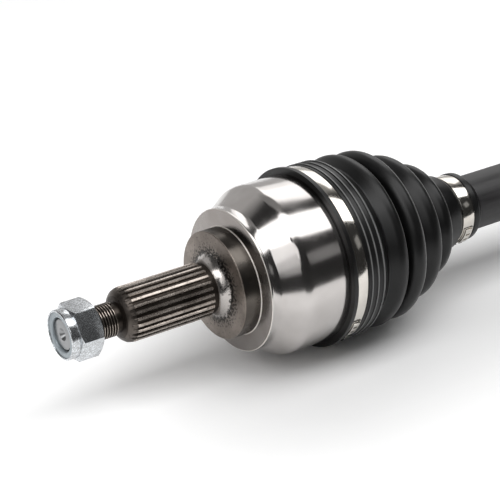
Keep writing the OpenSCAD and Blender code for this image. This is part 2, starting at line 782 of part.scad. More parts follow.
module tulip_blank() {
    fade = 12;
    intersection() {
        along_x(housing_mouth_x) linear_extrude(housing_end_x - housing_mouth_x) lobes(0);
        turned([[0, housing_mouth_x], [housing_r - rim_chamfer, housing_mouth_x],
                [housing_r + past, housing_mouth_x + rim_chamfer + past],
                [housing_r + past, housing_end_x - fade], [seal_land_r + 1.5 * seal_fillet, housing_end_x],
                [0, housing_end_x]]);
    }
    turned(concat(
        [[0, housing_end_x - past], [seal_land_r + seal_fillet, housing_end_x - past]],
        corner([seal_land_r + seal_fillet, housing_end_x + seal_fillet], seal_fillet, 270, 180),
        [[seal_land_r, seal_land_end_x - land_chamfer], [seal_land_r - land_chamfer, seal_land_end_x],
         [gearbox_neck_r, seal_land_end_x], [gearbox_neck_r, gearbox_spline_end_x - past],
         [nose_r, gearbox_spline_end_x], [nose_r, nose_groove_x],
         [nose_r - circlip_wire_r, nose_groove_x],
         [nose_r - circlip_wire_r, nose_groove_x + 2 * circlip_wire_r],
         [nose_r, nose_groove_x + 2 * circlip_wire_r], [nose_r, nose_end_x - nose_chamfer],
         [nose_r - nose_chamfer, nose_end_x],
         [0, nose_end_x]]));
    spline(gearbox_spline_r, gearbox_spline_depth, gearbox_spline_teeth, gearbox_spline_x,
           gearbox_spline_end_x, chamfered(gearbox_spline_r, gearbox_spline_x, gearbox_chamfer));
}

module tulip_housing() {
    length = cup_depth + housing_mouth_distance + past;
    color([0.32, 0.32, 0.34]) difference() {
        tulip_blank();
        round_bar(cup_bore_r, housing_mouth_x - past, cup_bottom_x + cup_relief);
        along_x(housing_mouth_x - past)
            cylinder(r1 = cup_bore_r + ridge_bevel * (1 + past / ridge_bevel_length), r2 = cup_bore_r,
                     h = ridge_bevel_length + past);
        for (angle = trunnion_angles) along_x(housing_mouth_x - past) rotate(angle) {
            translate([0, -track_half_width, 0]) cube([track_end_r, 2 * track_half_width, length]);
            translate([0, -tip_groove_half_width, 0])
                cube([tip_groove_r, 2 * tip_groove_half_width, length - tip_groove_stop]);
        }
    }
}

module boot_adaptor() {
    color([0.12, 0.12, 0.12]) along_x(adaptor_x) linear_extrude(adaptor_length) difference() {
        circle(adaptor_r);
        lobes(fit);
    }
}

module gearbox_circlip() {
    color([0.35, 0.35, 0.37]) along_x(nose_groove_x + circlip_wire_r)
        rotate(ring_opening / 2) rotate_extrude(angle = 360 - ring_opening)
            translate([nose_r + fit, 0]) circle(circlip_wire_r - fit);
}

outer_race();
hub_nut();
hub_nut_insert();
inner_race();
ball_cage();
balls();
outboard_circlip();
outboard_stop_ring();
outboard_boot();
outboard_large_clamp();
outboard_small_clamp();
shaft_bar();
inboard_small_clamp();
inboard_boot();
inboard_large_clamp();
boot_adaptor();
spider();
spider_circlip();
spider_stop_ring();
roller_1();
roller_2();
roller_3();
needle_set_1();
needle_set_2();
needle_set_3();
roller_washers();
roller_snap_rings();
tulip_housing();
gearbox_circlip();
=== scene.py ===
from math import asin, atan2, cos, degrees, hypot, pi, radians, sin, tan, tau

import bmesh
import bpy
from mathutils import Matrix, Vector


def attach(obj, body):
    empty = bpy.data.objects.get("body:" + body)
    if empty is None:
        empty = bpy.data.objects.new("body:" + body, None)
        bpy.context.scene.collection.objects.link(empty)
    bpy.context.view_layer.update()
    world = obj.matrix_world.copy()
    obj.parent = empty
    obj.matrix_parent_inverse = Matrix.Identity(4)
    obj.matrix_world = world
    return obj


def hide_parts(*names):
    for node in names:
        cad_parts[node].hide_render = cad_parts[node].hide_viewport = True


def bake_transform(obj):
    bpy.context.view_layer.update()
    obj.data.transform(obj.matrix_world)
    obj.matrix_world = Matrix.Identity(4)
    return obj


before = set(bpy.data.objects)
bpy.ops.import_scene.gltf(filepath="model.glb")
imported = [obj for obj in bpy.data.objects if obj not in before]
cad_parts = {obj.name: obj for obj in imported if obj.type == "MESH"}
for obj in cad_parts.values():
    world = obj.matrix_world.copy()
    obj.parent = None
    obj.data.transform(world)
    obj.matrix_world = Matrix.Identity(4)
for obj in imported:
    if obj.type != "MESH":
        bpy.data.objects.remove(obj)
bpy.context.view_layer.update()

MM = 0.001

# The photograph's view. The shaft lies on a table and is seen from in front of the hub nut,
# from the left side and from above, through a long lens.
camera_data = bpy.data.cameras.new("photograph_camera")
camera_data.lens = 123.6
camera_data.sensor_width = 36
camera_data.clip_start = 0.01
camera = bpy.data.objects.new("photograph_camera", camera_data)
camera.location = (-0.4346, -0.6602, 0.4279)
camera.rotation_euler = (radians(62.75), 0, radians(-34.74))
bpy.context.scene.collection.objects.link(camera)
bpy.context.scene.camera = camera
bpy.context.scene.view_settings.view_transform = "Standard"


# Wheel-end outer race. One steel forging: the bell holds the ball joint and the splined stub goes through
# the wheel's hub. The bell and the spline are machined, the shoulder is left oiled and brown,
# and the thread on the stub's end takes the hub nut.
foot_radius, shoulder_radius, lip_radius, bell_radius = 13.85, 29.4, 39, 46.7
lip_front, neck_end, crown_start, crown_end, groove_start = 10.2, 16, 25.9, 32.2, 55.4
mouth_end, mouth_radius = 66, 45.2
bell_outside = [(-14.5, 0), (-14.5, 13.1), (-13, foot_radius), (0, foot_radius), (0, shoulder_radius),
                (lip_front, shoulder_radius), (lip_front, lip_radius), (11.4, lip_radius), (12, 38.8),
                (neck_end, 38.8), (crown_start, 45)]
bell_crown = ((crown_start, 45), (crown_end, bell_radius), 0.6)
socket_centre, socket_radius, rim_x, rim_radius = 46, 34.5, 59.2, 31.88
bell_mouth = [(crown_end, bell_radius), (groove_start, bell_radius), (groove_start + 1, mouth_radius),
              (mouth_end, mouth_radius), (mouth_end, 38.68), (rim_x, rim_radius)]
ball_count, ball_circle, track_radius, track_opening, track_sweep = 6, 31, 10.5, radians(48), radians(92)
spline_start, spline_end, tooth_foot = -59.6, -8.6, 13.95
hub_spline = dict(start=spline_start, end=spline_end, tip=14.75, root=13.45, teeth=26)
hub_nose = [(spline_start, 9.75), (-58.9, 11.2), (-58.2, 12.35), (-57.3, 13.3), (-56.2, 14.05), (-54.6, 14.5),
            (-53, 14.7)]
stub_end, thread_core, thread_end = -90.1, 8.1, -62.9
thread = dict(start=-89.2, turns=18, pitch=1.5, tip=9, root=thread_core)
weld_distance = 0.002 * MM


def deselect():
    """Leaves nothing selected, so that a new primitive is the only thing an operator touches."""
    if bpy.context.mode != "OBJECT":
        bpy.ops.object.mode_set(mode="OBJECT")
    bpy.ops.object.select_all(action="DESELECT")


def make_active(piece):
    deselect()
    piece.select_set(True)
    bpy.context.view_layer.objects.active = piece


def new_piece(name):
    """Names the primitive that was just added and opens it for editing."""
    piece = bpy.context.object
    piece.name = piece.data.name = name
    bpy.ops.object.transform_apply(location=True, rotation=True, scale=True)
    bpy.ops.object.mode_set(mode="EDIT")
    bpy.ops.mesh.select_mode(type="VERT")
    return piece


def close_piece(piece):
    """Merges doubled points, turns the faces outwards and leaves edit mode."""
    bpy.ops.mesh.select_all(action="SELECT")
    bpy.ops.mesh.remove_doubles(threshold=weld_distance)
    bpy.ops.mesh.normals_make_consistent(inside=False)
    bpy.ops.mesh.select_all(action="DESELECT")
    bpy.ops.object.mode_set(mode="OBJECT")
    return piece


def drawn(name, outline, closed=False):
    """Draws half a section as a line through points (x, radius) in mm, and leaves it open for editing.
    The line starts from a small circle that is merged to a point."""
    deselect()
    x, radius = outline[0]
    bpy.ops.mesh.primitive_circle_add(vertices=3, radius=MM, location=(x * MM, 0, radius * MM))
    piece = new_piece(name)
    bpy.ops.mesh.select_all(action="SELECT")
    bpy.ops.mesh.merge(type="CENTER")
    for next_x, next_radius in outline[1:] + outline[:1] * closed:
        move = ((next_x - x) * MM, 0, (next_radius - radius) * MM)
        bpy.ops.mesh.extrude_region_move(TRANSFORM_OT_translate={"value": move})
        x, radius = next_x, next_radius
    bpy.ops.mesh.select_all(action="SELECT")
    if closed:
        bpy.ops.mesh.remove_doubles(threshold=weld_distance)
    return piece


def turned(name, outline, steps=144, angle=tau, closed=False):
    """A turned piece: its half section is drawn and spun round the shaft's axis."""
    piece = drawn(name, outline, closed)
    bpy.ops.mesh.spin(steps=steps, angle=angle, center=(0, 0, 0), axis=(1, 0, 0))
    return close_piece(piece)


def choose_ring(piece, x, radius, reach=0.02):
    """In edit mode, selects the edges of the ring at x and radius, all in mm."""
    mesh = bmesh.from_edit_mesh(piece.data)
    bpy.ops.mesh.select_all(action="DESELECT")
    mesh.select_mode = {"EDGE"}
    for edge in mesh.edges:
        edge.select = all(abs(v.co.x / MM - x) < reach and abs(hypot(v.co.y, v.co.z) / MM - radius) < reach
                          for v in edge.verts)
    mesh.select_flush_mode()
    bmesh.update_edit_mesh(piece.data)


def round_rings(piece, rings, segments=4):
    """Rounds the sharp rings of a turned piece. Each is (x, radius, width of the rounding), in mm."""
    make_active(piece)
    bpy.ops.object.mode_set(mode="EDIT")
    bpy.ops.mesh.select_mode(type="EDGE")
    for x, radius, width in rings:
        choose_ring(piece, x, radius)
        bpy.ops.mesh.bevel(offset=width * MM, offset_type="OFFSET", segments=segments, profile=0.5,
                           affect="EDGES", clamp_overlap=True)
    bpy.ops.mesh.select_all(action="DESELECT")
    bpy.ops.object.mode_set(mode="OBJECT")


def smooth(piece, angle=35):
    make_active(piece)
    bpy.ops.object.shade_smooth_by_angle(angle=radians(angle))
    return piece


def turn_to(piece, angle):
    """Turns a piece round the shaft's axis, by an angle in degrees from +Y towards +Z."""
    piece.rotation_euler = (radians(angle), 0, 0)
    make_active(piece)
    bpy.ops.object.transform_apply(rotation=True)


def cut(piece, tool, operation="DIFFERENCE"):
    """Takes the tool's shape out of the piece, or keeps only what both hold, and removes the tool."""
    make_active(piece)
    cutting = piece.modifiers.new("cut", "BOOLEAN")
    cutting.operation, cutting.object, cutting.solver = operation, tool, "EXACT"
    bpy.ops.object.modifier_apply(modifier=cutting.name)
    bpy.data.objects.remove(tool)
    return piece


def joined(*pieces):
    make_active(pieces[0])
    for piece in pieces[1:]:
        piece.select_set(True)
    bpy.ops.object.join()
    return pieces[0]


def splined(name, start, end, tip, root, teeth, nose):
    """A toothed spline: a finely divided disc gets its grooves pressed in, is drawn out ring by ring,
    and its teeth are then pulled down to the nose, a list of (x, radius)."""
    points_per_tooth, tip_share, root_share = 12, 0.2, 0.3
    deselect()
    bpy.ops.mesh.primitive_circle_add(vertices=points_per_tooth * teeth, radius=tip * MM, fill_type="NGON",
                                      location=(start * MM, 0, 0), rotation=(0, pi / 2, 0))
    piece = new_piece(name)

    def squeeze(x, share, radius):
        """Pulls a ring's points to a radius. It takes those whose distance from a tooth's middle is between two
        shares of the pitch."""
        mesh = bmesh.from_edit_mesh(piece.data)
        bpy.ops.mesh.select_all(action="DESELECT")
        chosen = []
        for v in mesh.verts:
            turn = abs((atan2(v.co.z, v.co.y) / tau * teeth + 0.5) % 1 - 0.5)
            if abs(v.co.x / MM - x) < 0.01 and share[0] < turn < share[1]:
                v.select = True
                chosen.append(v)
        mesh.select_flush_mode()
        now = hypot(chosen[0].co.y, chosen[0].co.z) / MM
        if radius < now - 0.001:
            bpy.ops.transform.resize(value=(1, radius / now, radius / now), center_override=(0, 0, 0))

    shares = [((-1, tip_share), tip), ((tip_share, root_share), (tip + root) / 2), ((root_share, 1), root)]
    for share, radius in shares:
        squeeze(start, share, radius)
    bpy.ops.mesh.select_all(action="SELECT")
    x = start
    rings = [x for x, radius in nose[1:] if start < x < end] + [end]
    for next_x in rings:
        bpy.ops.mesh.extrude_region_move(TRANSFORM_OT_translate={"value": ((next_x - x) * MM, 0, 0)})
        x = next_x
    for x, limit in nose:
        for share, radius in shares:
            squeeze(x, share, min(radius, limit))
    return close_piece(piece)


def wound_thread(name, start, turns, pitch, tip, root):
    """A thread's ridge: its section is drawn once, wide at the root and narrow at the tip, and wound up."""
    half_foot, half_crest, sunk = 0.46 * pitch, 0.1 * pitch, 0.4
    section = [(start - half_foot, root - sunk), (start - half_crest, tip), (start + half_crest, tip),
               (start + half_foot, root - sunk)]
    piece = drawn(name, section, closed=True)
    make_active(piece)
    winding = piece.modifiers.new("winding", "SCREW")
    winding.axis, winding.angle, winding.screw_offset = "X", tau, pitch * MM
    winding.iterations = turns
    winding.steps = winding.render_steps = 48
    winding.use_smooth_shade = False
    bpy.ops.object.modifier_apply(modifier=winding.name)
    fill_ends(piece)
    return piece


def fill_ends(piece):
    """Closes the open ends of a piece that was drawn along an arc."""
    make_active(piece)
    bpy.ops.object.mode_set(mode="EDIT")
    bpy.ops.mesh.select_mode(type="EDGE")
    bpy.ops.mesh.select_all(action="DESELECT")
    bpy.ops.mesh.select_non_manifold()
    bpy.ops.mesh.fill()
    return close_piece(piece)


def bulge(start, end, sag):
    """Points of a flat arc between two points of an outline, bulging outwards by sag."""
    steps = 8
    (x0, r0), (x1, r1) = start, end
    length = hypot(x1 - x0, r1 - r0)
    across = ((r0 - r1) / length, (x1 - x0) / length)
    arc = []
    for step in range(1, steps):
        t = step / steps
        out = 4 * sag * t * (1 - t)
        arc.append((x0 + t * (x1 - x0) + out * across[0], r0 + t * (r1 - r0) + out * across[1]))
    return arc


socket_rim = atan2(rim_radius, rim_x - socket_centre)
socket_steps = 24
socket = [(socket_centre + socket_radius * cos(a), socket_radius * sin(a))
          for a in [socket_rim + (pi - socket_rim) * step / socket_steps for step in range(1, socket_steps)]]
bell = turned("outer_race_bell", bell_outside + bulge(*bell_crown) + bell_mouth + socket + [(11.5, 0)])
round_rings(bell, [(0, foot_radius, 5.5)], segments=10)
round_rings(bell, [(0, shoulder_radius, 0.6), (lip_front, shoulder_radius, 0.5), (lip_front, lip_radius, 0.35),
                   (11.4, lip_radius, 0.3), (neck_end, 38.8, 0.8), (crown_start, 45, 1.2),
                   (groove_start, bell_radius, 0.4), (mouth_end, mouth_radius, 0.8)], segments=3)
# Each ball track is an arc round the socket's centre, from 48 degrees towards the stub to 44 degrees towards the
# mouth.
tracks = []
for number in range(ball_count):
    deselect()
    track_start = ((socket_centre - ball_circle * sin(track_opening)) * MM, ball_circle * cos(track_opening) * MM, 0)
    bpy.ops.mesh.primitive_circle_add(vertices=40, radius=track_radius * MM, fill_type="NGON",
                                      rotation=(0, pi / 2, track_opening), location=track_start)
    track = new_piece("ball_track")
    bpy.ops.mesh.select_all(action="SELECT")
    bpy.ops.mesh.spin(steps=24, angle=track_sweep, center=(socket_centre * MM, 0, 0), axis=(0, 0, 1))
    close_piece(track)
    turn_to(track, 30 + 60 * number)
    tracks.append(track)
cut(bell, joined(*tracks))
teeth = splined("hub_teeth", nose=hub_nose, **hub_spline)
core = turned("thread_core", [(-85.1, 0), (-87.6, 1.3), (stub_end, 3.3), (stub_end, thread_core),
                              (-59, thread_core), (-59, 0)], steps=72)
round_rings(core, [(stub_end, thread_core, 0.5)], segments=2)
ridge = wound_thread("thread_ridge", **thread)
outer_race = joined(bell, teeth, core, ridge)
outer_race.name = outer_race.data.name = "outer_race_machined"
smooth(outer_race, 28)


def add_node(tree, kind, inputs=None, **settings):
    """Adds a shader node with its settings. An input is a value or another node's output."""
    made = tree.nodes.new(kind)
    for key, value in settings.items():
        setattr(made, key, value)
    for key, value in (inputs or {}).items():
        if isinstance(value, bpy.types.NodeSocket):
            tree.links.new(value, made.inputs[key])
        else:
            made.inputs[key].default_value = value
    return made


def new_finish(name):
    """An empty material: its node tree, its Principled shader and the place on the object."""
    material = bpy.data.materials.new(name)
    material.use_nodes = True
    tree = material.node_tree
    shader = tree.nodes["Principled BSDF"]
    place = tree.nodes.new("ShaderNodeTexCoord").outputs["Object"]
    return material, tree, shader, place


def maths(tree, operation, *values):
    """The result of an operation on values or other nodes' outputs."""
    return add_node(tree, "ShaderNodeMath", dict(enumerate(values)), operation=operation).outputs[0]


def stretched(tree, place, scale):
    """The place with each axis scaled, so that a pattern runs along or round the shaft."""
    return add_node(tree, "ShaderNodeMapping", {"Vector": place, "Scale": scale}).outputs["Vector"]


def speckle(tree, place, scale, detail, roughness=0.6):
    """A cloudy or grainy pattern from 0 to 1, finer with a larger scale."""
    return add_node(tree, "ShaderNodeTexNoise", {"Vector": place, "Scale": scale, "Detail": detail,
                                                "Roughness": roughness}).outputs["Fac"]


def ramp(tree, value, stops):
    """Turns a 0 to 1 value into a colour. Each stop is (position, colour)."""
    made = add_node(tree, "ShaderNodeValToRGB", {"Fac": value})
    points = made.color_ramp.elements
    while len(points) < len(stops):
        points.new(0.5)
    for point, (position, colour) in zip(points, stops):
        point.position = position
        point.color = (*colour, 1)
    return made.outputs["Color"]


def between(tree, value, low, high, new_low=0, new_high=1):
    """The value moved from one range to another, and kept inside it."""
    made = add_node(tree, "ShaderNodeMapRange", {"Value": value, "From Min": low, "From Max": high,
                                                 "To Min": new_low, "To Max": new_high})
    return made.outputs["Result"]


def bumped(tree, shader, height, strength, distance):
    """Lets the shader see a pattern as relief, distance mm high."""
    relief = add_node(tree, "ShaderNodeBump", {"Height": height, "Strength": strength, "Distance": distance * MM})
    tree.links.new(relief.outputs["Normal"], shader.inputs["Normal"])


def mixed(tree, share, first, second):
    """A blend of two colours. The shader node's inputs 0, 6 and 7 are the share and the two colours."""
    made = add_node(tree, "ShaderNodeMix", data_type="RGBA")
    for socket, value in ((made.inputs[0], share), (made.inputs[6], first), (made.inputs[7], second)):
        if isinstance(value, bpy.types.NodeSocket):
            tree.links.new(value, socket)
        elif isinstance(value, (int, float)):
            socket.default_value = value
        else:
            socket.default_value = (*value, 1)
    return made.outputs[2]


def machined_steel(name, dark, light, rough, lines=900, scratch=0.02):
    """Bare steel with fine turning lines round the shaft and slightly uneven gloss. Scratch is their depth in mm."""
    material, tree, shader, place = new_finish(name)
    turning = speckle(tree, stretched(tree, place, (lines, 6, 6)), 1, 3)
    cloud = speckle(tree, place, 45, 3)
    shader.inputs["Metallic"].default_value = 1
    tree.links.new(ramp(tree, cloud, [(0.3, dark), (0.7, light)]), shader.inputs["Base Color"])
    gloss = between(tree, cloud, 0.3, 0.7, rough * 0.8, rough * 1.25)
    tree.links.new(gloss, shader.inputs["Roughness"])
    bumped(tree, shader, turning, 0.25, scratch)
    return material


def oiled_steel(name, dark, light, rough, grain=420):
    """Forged steel left dark and brown by oil, rubbed bright here and there. Some uses also carry painted shade in
    grooves or painted highlights on tips and crests.
    """
    material, tree, shader, place = new_finish(name)
    stain = speckle(tree, place, 60, 5, 0.65)
    pits = speckle(tree, place, grain, 3, 0.7)
    shader.inputs["Metallic"].default_value = 0.85
    base = ramp(tree, stain, [(0.32, dark), (0.68, light)])
    tree.links.new(mixed(tree, between(tree, pits, 0.56, 0.66, 0, 0.55), base, [0.02, 0.018, 0.016]),
                   shader.inputs["Base Color"])
    tree.links.new(between(tree, pits, 0.3, 0.7, rough * 0.75, rough * 1.3), shader.inputs["Roughness"])
    bumped(tree, shader, pits, 0.35, 0.12)
    return material


def paint(piece, material, test=None):
    """Gives the piece a finish, or only the faces whose middles pass test(x, radius) in mm."""
    piece.data.materials.append(material)
    slot_number = len(piece.data.materials) - 1
    for face in piece.data.polygons:
        if test is None or test(face.center.x / MM, hypot(face.center.y, face.center.z) / MM):
            face.material_index = slot_number


def shoulder_face(name, rubbed, brown, dark):
    """Steel round the stub's foot: rubbed bright on the fillet, speckled with dried oil round it, and brown
    farther out. The borders follow the radius, made uneven by the patches."""
    patch_width = 6 * MM
    material, tree, shader, place = new_finish(name)
    radius = add_node(tree, "ShaderNodeVectorMath", {0: stretched(tree, place, (0, 1, 1))}, operation="LENGTH")
    radius = radius.outputs["Value"]
    stain = speckle(tree, place, 60, 5, 0.65)
    specks = speckle(tree, place, 760, 3, 0.75)
    patches = speckle(tree, place, 300, 4, 0.7)
    uneven = maths(tree, "MULTIPLY_ADD", patches, patch_width, radius)
    outside = between(tree, uneven, 20 * MM, 21 * MM)
    base = mixed(tree, outside, rubbed, ramp(tree, stain, [(0.32, dark), (0.68, brown)]))
    rising = between(tree, uneven, 18.8 * MM, 20.6 * MM)
    falling = between(tree, uneven, 27.5 * MM, 21.2 * MM)
    oil = maths(tree, "MULTIPLY_ADD", maths(tree, "MULTIPLY", rising, falling), 0.2, specks)
    tree.links.new(mixed(tree, between(tree, oil, 0.6, 0.66, 0, 0.92), base, (0.012, 0.011, 0.01)),
                   shader.inputs["Base Color"])
    tree.links.new(between(tree, outside, 0, 1, 0.2, 0.42), shader.inputs["Roughness"])
    shader.inputs["Metallic"].default_value = 0.9
    bumped(tree, shader, specks, 0.3, 0.08)
    return material


bell_steel = machined_steel("ground bell steel", (0.50, 0.475, 0.46), (0.60, 0.575, 0.56), 0.15)
lip_steel = machined_steel("turned lip steel", (0.27, 0.245, 0.23), (0.36, 0.335, 0.32), 0.24, 500, 0.04)
shoulder_steel = shoulder_face("oiled shoulder steel", (0.5, 0.47, 0.45), (0.31, 0.27, 0.24),
                               (0.16, 0.136, 0.118))
side_steel = machined_steel("turned shoulder side", (0.07, 0.062, 0.055), (0.15, 0.135, 0.12), 0.26, 700, 0.03)
# A light, rough steel for painted highlights along the lip's edges.
edge_highlight_steel = machined_steel("painted edge highlight steel", (0.74, 0.7, 0.66), (0.84, 0.8, 0.76), 0.5)
# Tooth tips are painted much lighter than the grooves, as painted highlights over the oiled steel.
tooth_highlight_steel = oiled_steel("oiled spline tips with painted highlights", (0.24, 0.205, 0.18), (0.58, 0.52, 0.47), 0.27, 600)
nose_steel = oiled_steel("oiled spline nose", (0.05, 0.042, 0.036), (0.15, 0.13, 0.115), 0.36, 600)
# The grooves are painted near black: painted shade in the recesses.
groove_shade_steel = oiled_steel("spline grooves in painted shade", (0.018, 0.014, 0.011), (0.06, 0.048, 0.04), 0.42, 600)
# Thread grooves are painted near black as painted shade, and the crests light as painted highlights.
thread_shade_steel = oiled_steel("thread grooves in painted shade", (0.02, 0.016, 0.013), (0.06, 0.05, 0.042), 0.35, 500)
crest_highlight_steel = oiled_steel("thread crests with painted highlights", (0.3, 0.25, 0.21), (0.62, 0.56, 0.5), 0.22, 500)
end_steel = machined_steel("turned stub end", (0.26, 0.265, 0.27), (0.36, 0.365, 0.37), 0.3, 300, 0.03)
socket_steel = machined_steel("ground socket steel", (0.35, 0.34, 0.34), (0.45, 0.44, 0.43), 0.2)
outer_race.data.materials.clear()
paint(outer_race, bell_steel)
paint(outer_race, lip_steel, lambda x, r: lip_front - 0.1 < x < lip_front + 0.3 and r > shoulder_radius - 0.1)
paint(outer_race, shoulder_steel, lambda x, r: -6.2 < x < 0.6 and foot_radius + 0.02 < r < shoulder_radius + 0.2)
paint(outer_race, side_steel, lambda x, r: 0.5 < x < lip_front + 0.1 and 29 < r < 30)
# Thin rings at both edges of the lip are painted light as edge highlights.
paint(outer_race, edge_highlight_steel, lambda x, r: (lip_front - 0.55 < x < lip_front + 0.1 and 29.3 < r < 30
                                            or lip_front - 0.1 < x < lip_front + 0.45 and 38.6 < r < 39.1))
# The spline's grooves are painted near black as painted shade.
paint(outer_race, groove_shade_steel, lambda x, r: spline_start - 0.1 < x < -5.6 and r < tooth_foot)
# The spline's tooth tips are painted light as painted highlights.
paint(outer_race, tooth_highlight_steel, lambda x, r: -57 < x < spline_end + 0.1 and tooth_foot < r < 15)
paint(outer_race, nose_steel, lambda x, r: spline_start - 0.1 < x < -55 and r < 14.72)
# The undercut before the thread is painted near black as painted shade.
paint(outer_race, groove_shade_steel, lambda x, r: thread_end < x < -58.9 and r < 11.3)
# The thread's grooves are painted near black as painted shade, and its crests light as painted highlights.
paint(outer_race, thread_shade_steel, lambda x, r: x < thread_end and r < 9.2)
paint(outer_race, crest_highlight_steel, lambda x, r: x < -60 and 8.9 < r < 9.2)
paint(outer_race, end_steel, lambda x, r: x < -85 and (x < stub_end + 0.2 or r < 3.5))
paint(outer_race, socket_steel, lambda x, r: x > 11 and hypot(x - socket_centre, r) < 42 and r < 45)
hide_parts("outer_race")
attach(outer_race, "wheel_end")


# Hub nut. A hexagon of zinc-plated steel with a round collar that holds a locking insert,
# screwed on the stub's thread until it seats on the wheel's hub.
def round_edges(piece, width, angle):
    """Rounds every edge that bends by more than an angle in degrees. The piece is the active one."""
    edges = piece.modifiers.new("rounded edges", "BEVEL")
    edges.width, edges.segments, edges.limit_method, edges.angle_limit = width * MM, 2, "ANGLE", radians(angle)
    bpy.ops.object.modifier_apply(modifier=edges.name)


# One flat's middle lies nut_turn degrees from +Y towards +Z.
nut_turn, nut_flats, nut_length, nut_middle = 26, 27, 13, -80.5
nut_bore, nut_face, collar_radius, seat_floor, seat_radius = 9.05, -91.7, 13.2, -88.5, 12.02
deselect()
bpy.ops.mesh.primitive_cylinder_add(vertices=6, radius=nut_flats / 2 / cos(pi / 6) * MM, depth=nut_length * MM,
                                    location=(nut_middle * MM, 0, 0), rotation=(0, pi / 2, 0))
hexagon = close_piece(new_piece("nut_hexagon"))
corner = max(hexagon.data.vertices, key=lambda v: v.co.y)
turn_to(hexagon, nut_turn + 30 - degrees(atan2(corner.co.z, corner.co.y)))
envelope = turned("nut_envelope", [(-87, nut_bore), (-87, collar_radius), (-86, 15.7), (-75.1, 15.7), (-74, 13.6),
                                   (-74, nut_bore)], steps=180, closed=True)
cut(hexagon, envelope, "INTERSECT")
collar = turned("nut_collar", [(nut_face, seat_radius), (nut_face, collar_radius), (-86.2, collar_radius),
                               (-86.2, nut_bore), (seat_floor, nut_bore), (seat_floor, seat_radius)], closed=True)
round_rings(collar, [(nut_face, collar_radius, 0.7), (nut_face, seat_radius, 0.25)])
hub_nut = joined(hexagon, collar)
hub_nut.name = hub_nut.data.name = "hub_nut_plated"
round_edges(hub_nut, 0.25, 25)
smooth(hub_nut, 32)


def plated(name, colour, rough, grain):
    """Bright plating over steel, with a fine grain and a little cloudiness."""
    material, tree, shader, place = new_finish(name)
    cloud = speckle(tree, place, 90, 3)
    fine = speckle(tree, place, grain, 2)
    shader.inputs["Metallic"].default_value = 0.94
    cloud_shade = 0.82
    clouded = ramp(tree, cloud, [(0.3, [c * cloud_shade for c in colour]), (0.65, colour)])
    tree.links.new(mixed(tree, between(tree, fine, 0.6, 0.4, 0, 0.6), clouded, (0.25, 0.25, 0.25)),
                   shader.inputs["Base Color"])
    tree.links.new(between(tree, cloud, 0.3, 0.7, rough * 0.8, rough * 1.3), shader.inputs["Roughness"])
    bumped(tree, shader, fine, 0.3, 0.07)
    return material


zinc = plated("bright zinc", (0.80, 0.83, 0.86), 0.2, 1100)
hub_nut.data.materials.clear()
paint(hub_nut, zinc)
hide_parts("hub_nut")
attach(hub_nut, "wheel_end")


# Locking insert. A ring pressed into the nut's collar, which grips the thread so that the nut can't shake
# loose. It is a grey-blue, slightly matt ring that sits just below the collar's edge.
insert_face, insert_radius = -91.2, 12
hub_nut_insert = turned("hub_nut_insert_ring", [(insert_face, nut_bore), (insert_face, insert_radius),
                                                (seat_floor, insert_radius), (seat_floor, nut_bore)],
                        steps=120, closed=True)
round_rings(hub_nut_insert, [(insert_face, nut_bore, 0.8), (insert_face, insert_radius, 0.3)])
smooth(hub_nut_insert)
material, tree, shader, place = new_finish("insert ring")
wear = speckle(tree, stretched(tree, place, (300, 40, 40)), 1, 3)
tree.links.new(ramp(tree, wear, [(0.3, (0.30, 0.35, 0.38)), (0.7, (0.45, 0.50, 0.53))]),
               shader.inputs["Base Color"])
tree.links.new(between(tree, wear, 0.3, 0.7, 0.3, 0.45), shader.inputs["Roughness"])
shader.inputs["Metallic"].default_value = 0.35
bumped(tree, shader, wear, 0.2, 0.05)
hub_nut_insert.data.materials.clear()
paint(hub_nut_insert, material)
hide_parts("hub_nut_insert")
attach(hub_nut_insert, "wheel_end")


# Ball joint inside the bell: inner race on the bar's spline, six balls in a slotted cage, and the two rings that
# hold the race. All are hardened steel, ground where they run and dark where they are not.
bearing_steel = machined_steel("ground bearing steel", (0.52, 0.52, 0.54), (0.66, 0.66, 0.68), 0.12, 700)
cage_steel = machined_steel("blued cage steel", (0.16, 0.17, 0.20), (0.26, 0.27, 0.30), 0.28, 500)
ring_steel = oiled_steel("dark spring steel", (0.05, 0.05, 0.055), (0.12, 0.12, 0.13), 0.35)


def dress(node, material):
    """A CAD node that keeps its own shape gets its finish."""
    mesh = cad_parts[node].data
    mesh.materials.clear()
    mesh.materials.append(material)


for node in ("inner_race", "balls", "spider", "roller_1", "roller_2", "roller_3", "needle_set_1", "needle_set_2",
             "needle_set_3"):
    dress(node, bearing_steel)
dress("ball_cage", cage_steel)
for node in ("outboard_circlip", "outboard_stop_ring", "spider_circlip", "spider_stop_ring", "roller_washers",
             "roller_snap_rings"):
    dress(node, ring_steel)


# Bar between the two joints. It is turned from round steel with a splined neck at each end, where grooves
# hold the rings, and painted black between the boots.
bar_radius, neck_radius, core_radius, ring_width = 16, 12.5, 10.7, 1.6
bar_start, bar_end, cone_blend = 122, 356, 6
first_neck, last_neck, first_teeth_end, last_teeth_start = 96, 382, 61, 412
bar_spline = dict(tip=12, root=11.1, teeth=26)
bar_outline = [(50, 0), (50, core_radius), (first_teeth_end, core_radius), (64, neck_radius),
               (first_neck, neck_radius), (bar_start, bar_radius), (bar_end, bar_radius), (last_neck, neck_radius),
               (409, neck_radius), (last_teeth_start, core_radius), (430, core_radius), (430, 0)]
bar_body = turned("bar_body", bar_outline)
round_rings(bar_body, [(bar_start, bar_radius, cone_blend), (bar_end, bar_radius, cone_blend),
                       (first_neck, neck_radius, cone_blend), (last_neck, neck_radius, cone_blend)], segments=5)
first_teeth = splined("bar_teeth_wheel", 29, first_teeth_end, nose=[(29, 10.4), (30.6, 12)], **bar_spline)
last_teeth = splined("bar_teeth_gearbox", last_teeth_start, 447.5, nose=[], **bar_spline)
